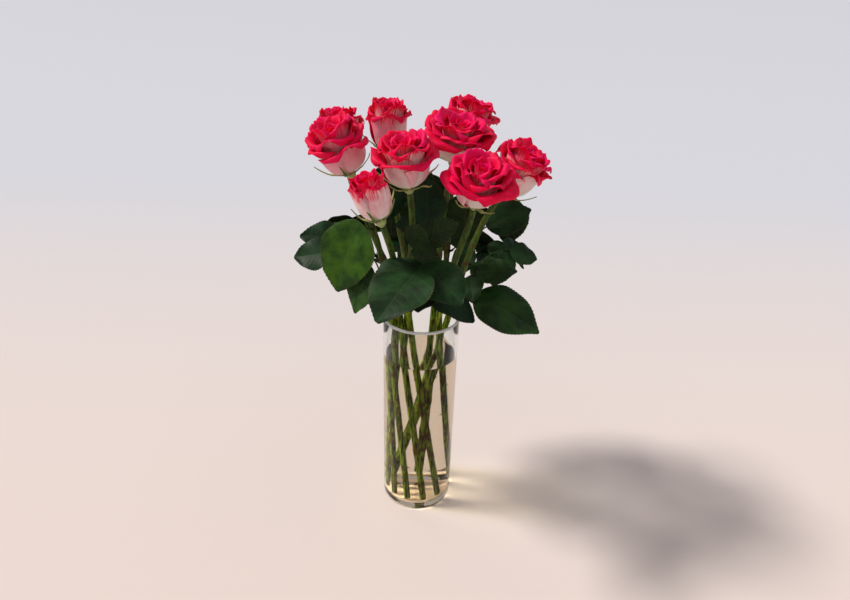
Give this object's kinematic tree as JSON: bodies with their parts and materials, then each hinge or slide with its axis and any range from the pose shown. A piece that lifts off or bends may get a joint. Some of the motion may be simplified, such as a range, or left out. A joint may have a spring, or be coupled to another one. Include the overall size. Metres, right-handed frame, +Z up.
{
  "type": "cut roses in a glass vase",
  "caption": "Bouquet of two-tone pink roses with leafy stems in a tall clear glass cylinder vase, part filled with water.",
  "frame": {"origin": "centre of the vase's underside, on the surface it stands on", "axes": "+Z up along the vase's axis; the bouquet's front faces -Y; +X is to the right when seen from the front"},
  "size_m": [0.2587, 0.2602, 0.4722],
  "materials": {
    "glass": "clear polished glass",
    "water": "clear water with a faint brown tint",
    "stem": "smooth green bark with brown patches",
    "sepal": "soft matt green",
    "petal": "velvety, crimson pink inside, cream and pale pink outside",
    "heart": "velvety, pink, paler towards the middle",
    "leaf": "waxy dark green above, paler and matt below"
  },
  "bodies": {
    "root": {"vase": "glass", "water": "water", "rose_left_stem": "stem", "rose_left_calyx": "sepal", "rose_left_petals": "petal", "rose_left_heart": "heart", "rose_back_left_stem": "stem", "rose_back_left_calyx": "sepal", "rose_back_left_petals": "petal", "rose_back_left_heart": "heart", "rose_front_stem": "stem", "rose_front_calyx": "sepal", "rose_front_petals": "petal", "rose_front_heart": "heart", "rose_bud_front_stem": "stem", "rose_bud_front_calyx": "sepal", "rose_bud_front_petals": "petal", "rose_bud_front_heart": "heart", "rose_centre_stem": "stem", "rose_centre_calyx": "sepal", "rose_centre_petals": "petal", "rose_centre_heart": "heart", "rose_back_right_stem": "stem", "rose_back_right_calyx": "sepal", "rose_back_right_petals": "petal", "rose_back_right_heart": "heart", "rose_front_right_stem": "stem", "rose_front_right_calyx": "sepal", "rose_front_right_petals": "petal", "rose_front_right_heart": "heart", "rose_right_stem": "stem", "rose_right_calyx": "sepal", "rose_right_petals": "petal", "rose_right_heart": "heart", "rose_bud_back_stem": "stem", "rose_bud_back_calyx": "sepal", "rose_bud_back_petals": "petal", "rose_bud_back_heart": "heart", "leaf_left": "leaf", "leaf_left_back": "leaf", "leaf_left_bright": "leaf", "leaf_left_low": "leaf", "leaf_front_left": "leaf", "leaf_front_top": "leaf", "leaf_front": "leaf", "leaf_front_right": "leaf", "leaf_right_front": "leaf", "leaf_right": "leaf", "leaf_right_top": "leaf", "leaf_right_back": "leaf", "leaf_centre": "leaf", "leaf_centre_left": "leaf", "leaf_centre_right": "leaf", "leaf_middle": "leaf", "leaf_back": "leaf", "leaf_back_left": "leaf", "leaf_back_right": "leaf", "leaf_back_low": "leaf", "leaf_back_middle": "leaf", "leaf_right_far": "leaf"}
  },
  "joints": []
}
